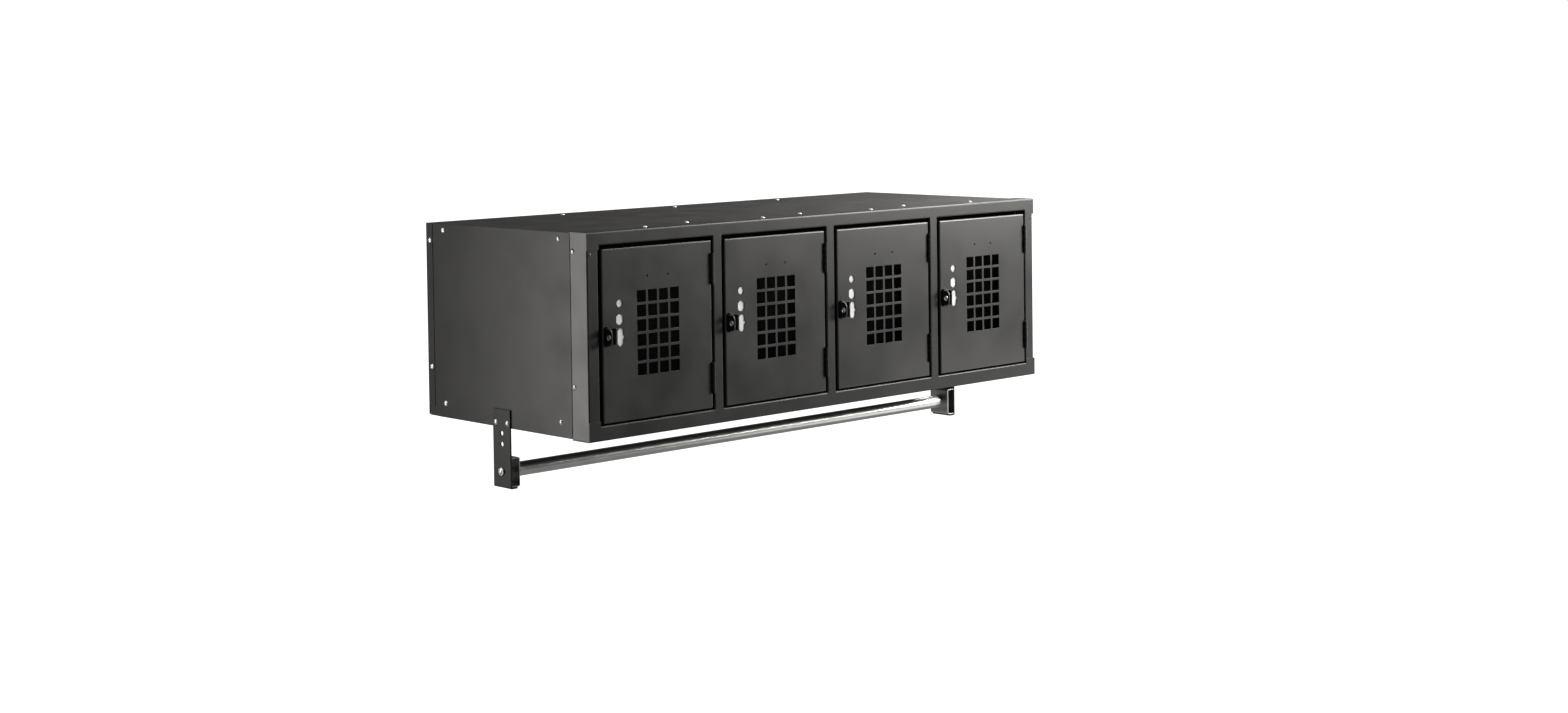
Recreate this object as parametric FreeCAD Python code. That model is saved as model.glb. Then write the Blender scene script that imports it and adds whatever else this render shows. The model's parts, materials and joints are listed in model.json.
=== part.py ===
"""Wall-hung box locker: four compartments in a row, with a coat rod hung below.

Millimetres, +Z up, the doors face -Y. The origin is the centre of the wall bolt
pattern, on the plane of the wall (the rear face of the back panel). Depths named
"..._depth" are counted backwards from the front face of the cabinet.
"""
import FreeCAD, Part
import math
import os

V = FreeCAD.Vector

# ---------------------------------------------------------------- driving sizes
# Cabinet: 45 1/8 in wide over the frame, 18 in deep, 13 13/16 in high.
CABINET_WIDTH = 1146.0
CABINET_DEPTH = 457.2
CABINET_HEIGHT = 350.8
BAY_COUNT = 4

# Sheet thicknesses.
PANEL_SHEET = 1.0
BACK_SHEET = 1.2
FRAME_SHEET = 1.5
DOOR_SHEET = 1.5
LOCK_SHEET = 1.2
STAPLE_SHEET = 2.5
HINGE_SHEET = 1.5
HANGER_SHEET = 3.0
BRACKET_SHEET = 1.8

# Front frame.
STILE_WIDTH = 24.0
MULLION_WIDTH = 21.0
TOP_RAIL_HEIGHT = 22.0
BOTTOM_RAIL_HEIGHT = 25.3
RAIL_TAB = 8.0                  # extra height of a rail where it laps a stile
RAIL_RETURN = 14.0
RAIL_OVERHANG = 1.5             # how far a rail's ends stand out past the stiles
FRAME_WRAP = 45.0               # how far the frame reaches back over the carcass
HINGE_RETURN = 24.0
STRIKE_DEPTH = 21.5             # rear face of the strike that stops the door
STRIKE_REACH = 18.0
BEND = 2.4                      # outer radius of a bend in frame and door sheet

# Carcass pans.
PAN_FLANGE_TOP = 25.0
PAN_FLANGE_BOTTOM = 37.0
PAN_REAR_FLANGE = 18.0
PAN_FRONT = 3.0
PAN_BEND = 0.9
SIDE_FLANGE_START = 52.0
SIDE_FLANGE_END = 430.0
SIDE_FRONT = 3.5
SIDE_JOGGLE = 1.3               # the middle of a side stands out to the level of the frame
JOGGLE_FRONT = 46.4
JOGGLE_REAR = 436.8
SIDE_REAR = 455.4
BACK_WRAP = 19.2
BACK_WRAP_BOTTOM = 19.2
PARTITION_FLANGE = 18.0
PARTITION_FRONT = 4.0
PARTITION_REAR = 454.0

# Doors.
DOOR_WIDTH = 248.1
DOOR_DEPTH = 16.0
HINGE_GAP = 4.4                 # door edge to frame, hinge side
DOOR_GAP_TOP = 7.0
DOOR_GAP_BOTTOM = 3.0
VENT_COLUMNS = 4
VENT_ROWS = 6
VENT_HOLE = 20.3
VENT_PITCH = 24.9
VENT_CENTRE_HEIGHT = 174.8      # above the cabinet's bottom
PLATE_HOLE_SPACING = 46.5       # two holes for a number plate
PLATE_HOLE_HEIGHT = 270.6
PLATE_HOLE_RADIUS = 1.9

# Lock preparation, on a vertical line near the free edge of each door.
LOCK_LINE = 38.4                # from the door's free edge
SMALL_LOCK_HEIGHT = 228.5
SMALL_LOCK_RADIUS = 6.6
CAM_LOCK_HEIGHT = 201.3
CAM_LOCK_RADIUS = 9.2
CAM_LOCK_FLATS = 15.6
LONG_LOCK_HEIGHT = 171.3
LONG_LOCK_WIDTH = 13.6
LONG_LOCK_LENGTH = 30.0
LONG_LOCK_CORNER = 6.0
LONG_LOCK_SHIFT = 1.5           # its centre is a little further from the free edge
LONG_LOCK_NICK = 2.6
LOCK_PLATE_WIDTH = 28.0
LOCK_PLATE_BOTTOM = 144.5
LOCK_PLATE_TOP = 241.5

# Padlock staple on the frame and the pull on the door.
STAPLE_HEIGHT = 174.4
STAPLE_TALL = 28.0
STAPLE_LEFT = 10.1              # from the opening's free side
STAPLE_PROUD = 19.0
STAPLE_CORNER = 8.0
PADLOCK_HOLE_RADIUS = 5.0
PADLOCK_HOLE_PROUD = 11.8
SLOT_CLEARANCE = 1.4
PULL_LEFT = 14.6                # from the opening's free side
PULL_WIDTH = 17.0
PULL_TALL = 28.0
PULL_PLATE = 3.0
PULL_EAR_WIDTH = 4.0
PULL_EAR_TALL = 33.8
PULL_LIP = 4.0
PULL_LIP_PROUD = 9.0
PULL_RIVET_INSET = 7.7
RIVET_SHANK_RADIUS = 2.4
RIVET_HEAD_RADIUS = 4.5
RIVET_HEAD_HEIGHT = 1.8

# Hinges.
HINGE_LENGTH = 54.0
HINGE_HEIGHTS = (81.9, 272.3)
KNUCKLE_RADIUS = 3.7
KNUCKLE_COUNT = 5
KNUCKLE_GAP = 0.3
HINGE_AXIS_PROUD = 1.8
PIN_CLEARANCE = 0.05
HINGE_LEAF_START = 2.6          # depth at which a leaf runs its full length
FRAME_LEAF_END = 22.0
DOOR_LEAF_END = 14.0
NOTCH_CLEARANCE = 0.6
NOTCH_END_CLEARANCE = 1.0

# Rubber bumpers on the strikes.
BUMPER_HEIGHTS = (53.5, 297.5)
BUMPER_RADIUS = 4.0
BUMPER_OFFSET = 6.8
BUMPER_THICK = 3.8

# Truss-head machine screws and their nuts.
SCREW_HEAD_RADIUS = 5.25
SCREW_HEAD_HEIGHT = 2.4
SCREW_RADIUS = 2.4
SCREW_HOLE_RADIUS = 2.5
SCREW_TIP = 1.5
RECESS_SPAN = 5.4
RECESS_WIDTH = 1.1
RECESS_DEPTH = 1.3
NUT_FLATS = 9.5
NUT_HEIGHT = 3.2
NUT_BORE_RADIUS = 2.45
PANEL_SCREW_DEPTHS = (77.0, 406.0)
PANEL_SCREW_HEIGHTS = (27.0, 338.5)
STRIP_SCREW_HEIGHTS = (90.0, 318.5)
FRONT_STRIP_SCREW_DEPTH = 39.0
REAR_STRIP_SCREW_DEPTH = 446.5
RAIL_SCREW_DEPTH = 32.0
PARTITION_SCREW_DEPTHS = (72.0, 420.0)
PARTITION_SCREW_OFFSET = 8.0
FRAME_RIVET_HEIGHT = 313.5
FRAME_RIVET_INSET = 6.0
FRAME_RIVET_RADIUS = 1.6

# Coat rod and its hangers.
ROD_RADIUS = 12.7
ROD_WALL = 1.5
ROD_DROP = 75.0                 # below the cabinet's bottom
HANGER_CENTRE_DEPTH = 239.0
HANGER_WIDTH = 48.0
HANGER_ABOVE = 33.5
HANGER_BELOW = 104.0
HANGER_LIP = 12.0
HANGER_SCREW_HEIGHT = 10.0
HANGER_SCREW_SPREAD = 16.0
SPARE_HOLE_DROPS = (8.5, 27.5)
SPARE_HOLE_RADIUS = 4.5
BRACKET_REACH = 18.0
BRACKET_HALF_HEIGHT = 25.8
BRACKET_WIDTH = 47.0
BRACKET_BEND = 4.0
ROD_BOLT_RADIUS = 4.0
ROD_BOLT_HOLE_RADIUS = 4.2
ROD_BOLT_FLATS = 12.7
ROD_BOLT_HEAD = 5.3
ROD_BOLT_BITE = 18.0
PLUG_LENGTH = 20.0
PLUG_CLEARANCE = 0.05

# Wall bolts: two stud bays of 16 in apart, 10 in between the rows.
WALL_SPACING_X = 812.8
WALL_SPACING_Z = 254.0
WALL_HOLE_RADIUS = 5.2

# ---------------------------------------------------------------- derived places
LEFT = -CABINET_WIDTH / 2
RIGHT = CABINET_WIDTH / 2
FRONT = -CABINET_DEPTH
BOTTOM = -CABINET_HEIGHT / 2
TOP = CABINET_HEIGHT / 2
OPENING_WIDTH = (CABINET_WIDTH - 2 * STILE_WIDTH - (BAY_COUNT - 1) * MULLION_WIDTH) / BAY_COUNT
BAY_PITCH = OPENING_WIDTH + MULLION_WIDTH
OPENING_BOTTOM = BOTTOM + BOTTOM_RAIL_HEIGHT
OPENING_TOP = TOP - TOP_RAIL_HEIGHT
DOOR_BOTTOM = OPENING_BOTTOM + DOOR_GAP_BOTTOM
DOOR_TOP = OPENING_TOP - DOOR_GAP_TOP
SIDE_FACE = CABINET_WIDTH / 2 - FRAME_SHEET      # outer face of a side panel under the frame
FIELD_FACE = SIDE_FACE + SIDE_JOGGLE             # outer face of a side panel's middle
PAN_FACE = FIELD_FACE - PANEL_SHEET              # outer face of the pans' side flanges
TOP_SKIN = TOP - FRAME_SHEET                     # upper face of the top panel
BOTTOM_SKIN = BOTTOM + FRAME_SHEET               # lower face of the bottom panel
PIN_RADIUS = KNUCKLE_RADIUS - HINGE_SHEET - PIN_CLEARANCE
ROD_HEIGHT = BOTTOM - ROD_DROP
HANGER_Y = FRONT + HANGER_CENTRE_DEPTH
ROD_END = FIELD_FACE - BRACKET_REACH             # face of a bracket's web, where the rod ends

OUT_LEFT = V(-1, 0, 0)
OUT_RIGHT = V(1, 0, 0)
OUT_FRONT = V(0, -1, 0)
OUT_BACK = V(0, 1, 0)
UP = V(0, 0, 1)
DOWN = V(0, 0, -1)
FAR = 1000.0                                     # longer than any cut needs to be


# ---------------------------------------------------------------- small helpers
def box(x0, x1, depth0, depth1, z0, z1):
    """A box between two X, two depths behind the front face and two Z."""
    return Part.makeBox(x1 - x0, depth1 - depth0, z1 - z0, V(x0, FRONT + depth0, z0))


def fuse(shapes):
    """One solid from touching shapes, with the seams between coplanar faces removed."""
    return shapes[0].multiFuse(shapes[1:]).removeSplitter()


def drill(shape, centre, direction, radius, length=FAR):
    """Cut a round hole that is centred on a point and runs both ways along a direction."""
    start = centre - direction * (length / 2)
    return shape.cut(Part.makeCylinder(radius, length, start, direction))


def place(shape, point, outward):
    """Turn a shape built along +Z so that +Z points outward, and move it to a point."""
    placed = shape.copy()
    placed.Placement = FreeCAD.Placement(point, FreeCAD.Rotation(UP, outward))
    return placed


def mirror_x(shape):
    """The same piece for the other side of the cabinet."""
    return shape.mirror(V(0, 0, 0), V(1, 0, 0))


def round_edges(shape, radius, direction, places):
    """Fillet the edges that run along a direction and pass through one of the places."""
    picked = []
    for edge in shape.Edges:
        ends = [vertex.Point for vertex in edge.Vertexes]
        if len(ends) != 2:
            continue
        along = (ends[1] - ends[0]).normalize()
        if abs(abs(along.dot(direction)) - 1) > 1e-6:
            continue
        middle = (ends[0] + ends[1]) * 0.5
        for spot in places:
            offset = middle - spot
            if (offset - direction * offset.dot(direction)).Length < 1e-3:
                picked.append(edge)
                break
    return shape.makeFillet(radius, picked)


def bend_cutter(corner, inward, along, length):
    """What comes off a square edge of the front face to leave the round of a bend."""
    across = inward * BEND
    back = OUT_BACK * BEND
    outline = [corner, corner + across, corner + across + back, corner + back, corner]
    bar = Part.Face(Part.makePolygon(outline)).extrude(along * length)
    return bar.cut(Part.makeCylinder(BEND, length, corner + across + back, along))


def hexagon(flats, height):
    """A hexagonal prism standing on the XY plane."""
    corner = flats / math.sqrt(3)
    points = [V(corner * math.cos(math.radians(a)), corner * math.sin(math.radians(a)), 0)
              for a in range(0, 361, 60)]
    return Part.Face(Part.makePolygon(points)).extrude(V(0, 0, height))


def dome(radius, height):
    """A low domed disc standing on the XY plane."""
    sphere_radius = (radius ** 2 + height ** 2) / (2 * height)
    ball = Part.makeSphere(sphere_radius, V(0, 0, height - sphere_radius))
    return Part.makeCylinder(radius, height).common(ball)


def opening_left(bay):
    return LEFT + STILE_WIDTH + bay * BAY_PITCH


def opening_right(bay):
    return opening_left(bay) + OPENING_WIDTH


def bay_centre(bay):
    return opening_left(bay) + OPENING_WIDTH / 2


def mullion_centre(index):
    """Centre of the mullion on the right of bay number index."""
    return opening_right(index) + MULLION_WIDTH / 2


def door_right(bay):
    return opening_right(bay) - HINGE_GAP


def door_left(bay):
    return door_right(bay) - DOOR_WIDTH


# ---------------------------------------------------------------- screws
class ScrewSite:
    """A screw's seat: where its head sits, which way it faces and what it clamps."""

    def __init__(self, point, outward, grip):
        self.point = point
        self.outward = outward
        self.grip = grip


def side_sites(side):
    """Screws in one side of the cabinet; side is -1 for the left and +1 for the right."""
    outward = V(side, 0, 0)
    sites = []
    for height in PANEL_SCREW_HEIGHTS:
        for depth in PANEL_SCREW_DEPTHS:
            seat = V(side * FIELD_FACE, FRONT + depth, BOTTOM + height)
            sites.append(ScrewSite(seat, outward, 2 * PANEL_SHEET))
    for height in STRIP_SCREW_HEIGHTS:
        seat = V(side * RIGHT, FRONT + FRONT_STRIP_SCREW_DEPTH, BOTTOM + height)
        sites.append(ScrewSite(seat, outward, FRAME_SHEET + PANEL_SHEET))
        seat = V(side * (SIDE_FACE + BACK_SHEET), FRONT + REAR_STRIP_SCREW_DEPTH, BOTTOM + height)
        sites.append(ScrewSite(seat, outward, BACK_SHEET + PANEL_SHEET))
    return sites


def deck_sites(outward, rail_face, skin_face):
    """Screws in the top or the bottom of the cabinet."""
    sites = []
    for bay in range(BAY_COUNT):
        seat = V(bay_centre(bay), FRONT + RAIL_SCREW_DEPTH, rail_face)
        sites.append(ScrewSite(seat, outward, FRAME_SHEET + PANEL_SHEET))
    for index in range(BAY_COUNT - 1):
        for depth in PARTITION_SCREW_DEPTHS:
            seat = V(mullion_centre(index) - PARTITION_SCREW_OFFSET, FRONT + depth, skin_face)
            sites.append(ScrewSite(seat, outward, 2 * PANEL_SHEET))
    return sites


def hanger_sites(side):
    """The two screws that hold one hanger plate to the cabinet's side."""
    sites = []
    for spread in (-HANGER_SCREW_SPREAD, HANGER_SCREW_SPREAD):
        seat = V(side * (FIELD_FACE + HANGER_SHEET), HANGER_Y + spread, BOTTOM + HANGER_SCREW_HEIGHT)
        sites.append(ScrewSite(seat, V(side, 0, 0), HANGER_SHEET + 2 * PANEL_SHEET))
    return sites


LEFT_SITES = side_sites(-1)
RIGHT_SITES = side_sites(1)
TOP_SITES = deck_sites(UP, TOP, TOP_SKIN)
BOTTOM_SITES = deck_sites(DOWN, BOTTOM, BOTTOM_SKIN)
HANGER_SITES = hanger_sites(-1) + hanger_sites(1)
ALL_SITES = LEFT_SITES + RIGHT_SITES + TOP_SITES + BOTTOM_SITES + HANGER_SITES


def truss_screw(grip):
    """A truss-head screw with a cross recess, its head above the XY plane."""
    length = grip + NUT_HEIGHT + SCREW_TIP
    head = dome(SCREW_HEAD_RADIUS, SCREW_HEAD_HEIGHT)
    shank = Part.makeCylinder(SCREW_RADIUS, length, V(0, 0, -length))
    floor = SCREW_HEAD_HEIGHT - RECESS_DEPTH
    long_slot = Part.makeBox(RECESS_SPAN, RECESS_WIDTH, RECESS_DEPTH,
                             V(-RECESS_SPAN / 2, -RECESS_WIDTH / 2, floor))
    cross_slot = Part.makeBox(RECESS_WIDTH, RECESS_SPAN, RECESS_DEPTH,
                              V(-RECESS_WIDTH / 2, -RECESS_SPAN / 2, floor))
    return head.fuse(shank).cut(long_slot).cut(cross_slot).removeSplitter()


def screws(sites):
    return Part.makeCompound([place(truss_screw(s.grip), s.point, s.outward) for s in sites])


def nuts(sites):
    """A hexagon nut behind the sheets at every screw."""
    nut = drill(hexagon(NUT_FLATS, NUT_HEIGHT), V(0, 0, 0), UP, NUT_BORE_RADIUS)
    return Part.makeCompound([place(nut, s.point - s.outward * s.grip, s.outward * -1)
                              for s in sites])


def pierce(sheet, sites):
    """Screw holes in a sheet, at the sites whose screws pass through it."""
    for site in sites:
        middle = site.point - site.outward * (site.grip / 2)
        sheet = drill(sheet, middle, site.outward, SCREW_HOLE_RADIUS, site.grip + SCREW_TIP)
    return sheet


# ---------------------------------------------------------------- carcass
def side_panel():
    """The left side: a sheet joggled inward where the frame and the back panel lap over it."""
    low = BOTTOM_SKIN + FRAME_SHEET
    inner = PANEL_SHEET - SIDE_FACE
    sheet = fuse([
        box(-SIDE_FACE, inner, SIDE_FRONT, JOGGLE_FRONT + PANEL_SHEET, low, TOP_SKIN),
        box(-FIELD_FACE, inner, JOGGLE_FRONT, JOGGLE_FRONT + PANEL_SHEET, low, TOP_SKIN),
        box(-FIELD_FACE, -PAN_FACE, JOGGLE_FRONT, JOGGLE_REAR, low, TOP_SKIN),
        box(-FIELD_FACE, inner, JOGGLE_REAR - PANEL_SHEET, JOGGLE_REAR, low, TOP_SKIN),
        box(-SIDE_FACE, inner, JOGGLE_REAR - PANEL_SHEET, SIDE_REAR, low, TOP_SKIN),
    ])
    corners = [V(-FIELD_FACE, FRONT + JOGGLE_FRONT, 0), V(-FIELD_FACE, FRONT + JOGGLE_REAR, 0)]
    sheet = round_edges(sheet, PAN_BEND, UP, corners)
    return pierce(sheet, LEFT_SITES + hanger_sites(-1))


def pan(skin, inward, side_flange, sites):
    """The top or bottom panel: a sheet with flanges turned inward at the sides and rear."""
    inner = skin + inward * PANEL_SHEET
    flange_edge = skin + inward * side_flange
    rear_edge = skin + inward * PAN_REAR_FLANGE
    rear = CABINET_DEPTH - BACK_SHEET - PANEL_SHEET / 2
    low, high = sorted((skin, inner))
    narrow = SIDE_FACE - PANEL_SHEET
    pieces = [
        box(-narrow, narrow, PAN_FRONT, rear, low, high),
        box(-PAN_FACE, PAN_FACE, SIDE_FLANGE_START, SIDE_FLANGE_END, low, high),
    ]
    for side in (-1, 1):
        x0, x1 = sorted((side * PAN_FACE, side * (PAN_FACE - PANEL_SHEET)))
        low, high = sorted((skin, flange_edge))
        pieces.append(box(x0, x1, SIDE_FLANGE_START, SIDE_FLANGE_END, low, high))
    low, high = sorted((skin, rear_edge))
    rear_span = narrow - PANEL_SHEET
    pieces.append(box(-rear_span, rear_span, rear - PANEL_SHEET, rear, low, high))
    return pierce(fuse(pieces), sites)


def back_panel():
    """The rear sheet, which wraps round the side panels and carries the wall bolts."""
    width = SIDE_FACE + BACK_SHEET
    sheet = box(-width, width, CABINET_DEPTH - BACK_SHEET, CABINET_DEPTH,
                BOTTOM_SKIN + FRAME_SHEET, TOP_SKIN)
    pieces = [sheet]
    for side in (-1, 1):
        x0, x1 = sorted((side * width, side * SIDE_FACE))
        pieces.append(box(x0, x1, CABINET_DEPTH - BACK_WRAP, CABINET_DEPTH,
                          BOTTOM + BACK_WRAP_BOTTOM, TOP_SKIN))
    panel = fuse(pieces)
    corners = [V(-width, 0, 0), V(width, 0, 0)]
    panel = round_edges(panel, PAN_BEND, UP, corners)
    panel = pierce(panel, LEFT_SITES + RIGHT_SITES)
    for x in (-WALL_SPACING_X / 2, WALL_SPACING_X / 2):
        for z in (-WALL_SPACING_Z / 2, WALL_SPACING_Z / 2):
            panel = drill(panel, V(x, 0, z), OUT_BACK, WALL_HOLE_RADIUS, CABINET_DEPTH / 2)
    return panel


def partition(index):
    """The wall between two bays, flanged to the top, the bottom and the back."""
    x = mullion_centre(index)
    half = PANEL_SHEET / 2
    floor = BOTTOM_SKIN + PANEL_SHEET
    ceiling = TOP_SKIN - PANEL_SHEET
    sheet = box(x - half, x + half, PARTITION_FRONT, PARTITION_REAR, floor, ceiling)
    flange_x = x - PARTITION_FLANGE
    flange_front = HINGE_RETURN + PARTITION_FLANGE
    pieces = [
        sheet,
        box(flange_x, x, flange_front, PARTITION_REAR, ceiling - PANEL_SHEET, ceiling),
        box(flange_x, x, flange_front, PARTITION_REAR, floor, floor + PANEL_SHEET),
        box(flange_x, x, PARTITION_REAR - PANEL_SHEET, PARTITION_REAR,
            BOTTOM_SKIN + PAN_REAR_FLANGE + PAN_FRONT, TOP_SKIN - PAN_REAR_FLANGE - PAN_FRONT),
    ]
    return pierce(fuse(pieces), TOP_SITES + BOTTOM_SITES)


# ---------------------------------------------------------------- front frame
def rail(edge, inward, height, sites):
    """The top or bottom rail: a face, a flange over the carcass and a return at each bay."""
    skin = edge + inward * FRAME_SHEET
    lip = edge + inward * height
    tab = edge + inward * (height + RAIL_TAB)
    low, high = sorted((edge, lip))
    end = RIGHT + RAIL_OVERHANG
    pieces = [box(-end, end, 0, FRAME_SHEET, low, high)]
    low, high = sorted((edge, tab))
    for side in (-1, 1):
        x0, x1 = sorted((side * end, side * (RIGHT - STILE_WIDTH)))
        pieces.append(box(x0, x1, 0, FRAME_SHEET, low, high))
    low, high = sorted((edge, skin))
    pieces.append(box(-end, end, 0, FRAME_WRAP, low, high))
    low, high = sorted((lip, lip - inward * FRAME_SHEET))
    for bay in range(BAY_COUNT):
        pieces.append(box(opening_left(bay), opening_right(bay), 0, RAIL_RETURN, low, high))
    rail_solid = round_edges(fuse(pieces), BEND, OUT_RIGHT, [V(0, FRONT, edge)])
    for bay in range(BAY_COUNT):
        corner = V(opening_left(bay), FRONT, lip)
        rail_solid = rail_solid.cut(bend_cutter(corner, UP * -inward, OUT_RIGHT, OPENING_WIDTH))
    return pierce(rail_solid, sites)


def stile_bend_cutter(x, inward):
    """The round of the bend between a stile's face and its return into the opening."""
    corner = V(x, FRONT + FRAME_SHEET, OPENING_BOTTOM)
    return bend_cutter(corner, inward, UP, OPENING_TOP - OPENING_BOTTOM)


def left_stile():
    """The left end of the frame, with the strike that stops door 1."""
    inner = opening_left(0)
    strike = STRIKE_DEPTH
    pieces = [
        box(LEFT, inner, FRAME_SHEET, 2 * FRAME_SHEET, BOTTOM_SKIN, TOP_SKIN),
        box(LEFT, LEFT + FRAME_SHEET, FRAME_SHEET, FRAME_WRAP, BOTTOM_SKIN, TOP_SKIN),
        box(inner - FRAME_SHEET, inner, FRAME_SHEET, strike, OPENING_BOTTOM, OPENING_TOP),
        box(inner - FRAME_SHEET, inner + STRIKE_REACH, strike - FRAME_SHEET, strike,
            OPENING_BOTTOM, OPENING_TOP),
    ]
    stile = fuse(pieces)
    stile = round_edges(stile, BEND, UP, [V(LEFT, FRONT + FRAME_SHEET, 0)])
    stile = stile.cut(stile_bend_cutter(inner, OUT_LEFT))
    stile = drill_frame_rivet(stile, -1)
    return pierce(stile, LEFT_SITES)


def right_stile():
    """The right end of the frame, with the return that carries the hinges of the last door."""
    inner = opening_right(BAY_COUNT - 1)
    pieces = [
        box(inner, RIGHT, FRAME_SHEET, 2 * FRAME_SHEET, BOTTOM_SKIN, TOP_SKIN),
        box(RIGHT - FRAME_SHEET, RIGHT, FRAME_SHEET, FRAME_WRAP, BOTTOM_SKIN, TOP_SKIN),
        box(inner, inner + FRAME_SHEET, FRAME_SHEET, HINGE_RETURN, OPENING_BOTTOM, OPENING_TOP),
    ]
    stile = fuse(pieces)
    stile = round_edges(stile, BEND, UP, [V(RIGHT, FRONT + FRAME_SHEET, 0)])
    stile = stile.cut(stile_bend_cutter(inner, OUT_RIGHT))
    stile = drill_frame_rivet(stile, 1)
    return pierce(stile, RIGHT_SITES)


def mullion(index):
    """A post between two openings: hinge return on its left, strike on its right."""
    left = opening_right(index)
    right = opening_left(index + 1)
    strike = STRIKE_DEPTH
    pieces = [
        box(left, right, 0, FRAME_SHEET, OPENING_BOTTOM, OPENING_TOP),
        box(left, left + FRAME_SHEET, 0, HINGE_RETURN, OPENING_BOTTOM, OPENING_TOP),
        box(right - FRAME_SHEET, right, 0, strike, OPENING_BOTTOM, OPENING_TOP),
        box(right - FRAME_SHEET, right + STRIKE_REACH, strike - FRAME_SHEET, strike,
            OPENING_BOTTOM, OPENING_TOP),
    ]
    return round_edges(fuse(pieces), BEND, UP, [V(left, FRONT, 0), V(right, FRONT, 0)])


def frame_rivet_point(side):
    """Seat of the rivet that joins a stile's face to the top rail's end."""
    return V(side * (RIGHT - FRAME_RIVET_INSET), FRONT + FRAME_SHEET, BOTTOM + FRAME_RIVET_HEIGHT)


def drill_frame_rivet(stile, side):
    return drill(stile, frame_rivet_point(side), OUT_FRONT, FRAME_RIVET_RADIUS, 4 * FRAME_SHEET)


def frame_rivets():
    """Small blind rivets, one near the top of each stile."""
    rivet = dome(2 * FRAME_RIVET_RADIUS, FRAME_RIVET_RADIUS / 2)
    shank = Part.makeCylinder(FRAME_RIVET_RADIUS, 2 * FRAME_SHEET, V(0, 0, -2 * FRAME_SHEET))
    rivet = rivet.fuse(shank)
    return Part.makeCompound([place(rivet, frame_rivet_point(side), OUT_FRONT) for side in (-1, 1)])


def bumpers():
    """Rubber buttons on the strikes, which the doors close against."""
    pads = []
    for bay in range(BAY_COUNT):
        for height in BUMPER_HEIGHTS:
            seat = V(opening_left(bay) + BUMPER_OFFSET, FRONT + STRIKE_DEPTH - FRAME_SHEET,
                     BOTTOM + height)
            pads.append(place(dome(BUMPER_RADIUS, BUMPER_THICK), seat, OUT_FRONT))
    return Part.makeCompound(pads)


def padlock_staple(bay):
    """A plate welded to the strike; its eye stands out through the door's slot."""
    left = opening_left(bay) + STAPLE_LEFT
    low = BOTTOM + STAPLE_HEIGHT - STAPLE_TALL / 2
    high = low + STAPLE_TALL
    back = STRIKE_DEPTH - FRAME_SHEET
    eye = box(left, left + STAPLE_SHEET, -STAPLE_PROUD, back, low, high)
    nose = FRONT - STAPLE_PROUD
    eye = round_edges(eye, STAPLE_CORNER, OUT_RIGHT, [V(0, nose, low), V(0, nose, high)])
    hole = V(left, FRONT - PADLOCK_HOLE_PROUD, BOTTOM + STAPLE_HEIGHT)
    eye = drill(eye, hole, OUT_RIGHT, PADLOCK_HOLE_RADIUS, 4 * STAPLE_SHEET)
    foot = box(left - 2 * STAPLE_SHEET, left + STAPLE_SHEET, back - STAPLE_SHEET, back, low, high)
    return fuse([eye, foot])


# ---------------------------------------------------------------- hinges
def hinge_axis(bay):
    """A point on the hinge axis of one door."""
    return V(opening_right(bay) - KNUCKLE_RADIUS, FRONT - HINGE_AXIS_PROUD, 0)


def knuckle_spans(height):
    """Low and high ends of each knuckle of a hinge, from the bottom up."""
    pitch = HINGE_LENGTH / KNUCKLE_COUNT
    start = BOTTOM + height - HINGE_LENGTH / 2
    return [(start + n * pitch + KNUCKLE_GAP / 2, start + (n + 1) * pitch - KNUCKLE_GAP / 2)
            for n in range(KNUCKLE_COUNT)]


def hinge_leaf(bay, height, side, leaf_end, first):
    """One leaf: every second knuckle, tangent to a plate that runs back from them."""
    axis = hinge_axis(bay)
    outer = axis.x + side * KNUCKLE_RADIUS
    inner = outer - side * HINGE_SHEET
    x0, x1 = sorted((outer, inner))
    low = BOTTOM + height - HINGE_LENGTH / 2
    pieces = [box(x0, x1, HINGE_LEAF_START, leaf_end, low, low + HINGE_LENGTH)]
    for z0, z1 in knuckle_spans(height)[first::2]:
        ring = Part.makeCylinder(KNUCKLE_RADIUS, z1 - z0, V(axis.x, axis.y, z0))
        web = box(x0, x1, -HINGE_AXIS_PROUD, HINGE_LEAF_START, z0, z1)
        pieces.append(ring.fuse(web))
    leaf = fuse(pieces)
    return drill(leaf, axis + V(0, 0, BOTTOM + height), UP, PIN_RADIUS + PIN_CLEARANCE)


def hinge_frame_leaves(bay):
    """The fixed leaves, welded to the frame beside the opening."""
    return Part.makeCompound([hinge_leaf(bay, h, 1, FRAME_LEAF_END, 0) for h in HINGE_HEIGHTS])


def hinge_door_leaves(bay):
    """The moving leaves, welded inside the door's flange."""
    return Part.makeCompound([hinge_leaf(bay, h, -1, DOOR_LEAF_END, 1) for h in HINGE_HEIGHTS])


def hinge_pins():
    pins = []
    for bay in range(BAY_COUNT):
        for height in HINGE_HEIGHTS:
            foot = hinge_axis(bay) + V(0, 0, BOTTOM + height - HINGE_LENGTH / 2)
            pins.append(Part.makeCylinder(PIN_RADIUS, HINGE_LENGTH, foot))
    return Part.makeCompound(pins)


# ---------------------------------------------------------------- doors
def door_pan(bay):
    """The door's sheet, turned back on all four sides."""
    left = door_left(bay)
    right = door_right(bay)
    outer = box(left, right, 0, DOOR_DEPTH, DOOR_BOTTOM, DOOR_TOP)
    sides = [V(left, FRONT, 0), V(right, FRONT, 0)]
    ends = [V(0, FRONT, DOOR_BOTTOM), V(0, FRONT, DOOR_TOP)]
    outer = round_edges(outer, BEND, UP, sides)
    outer = round_edges(outer, BEND, OUT_RIGHT, ends)
    t = DOOR_SHEET
    inner = box(left + t, right - t, t, DOOR_DEPTH + t, DOOR_BOTTOM + t, DOOR_TOP - t)
    sides = [V(left + t, FRONT + t, 0), V(right - t, FRONT + t, 0)]
    inner = round_edges(inner, BEND - t, UP, sides)
    return outer.cut(inner)


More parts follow.
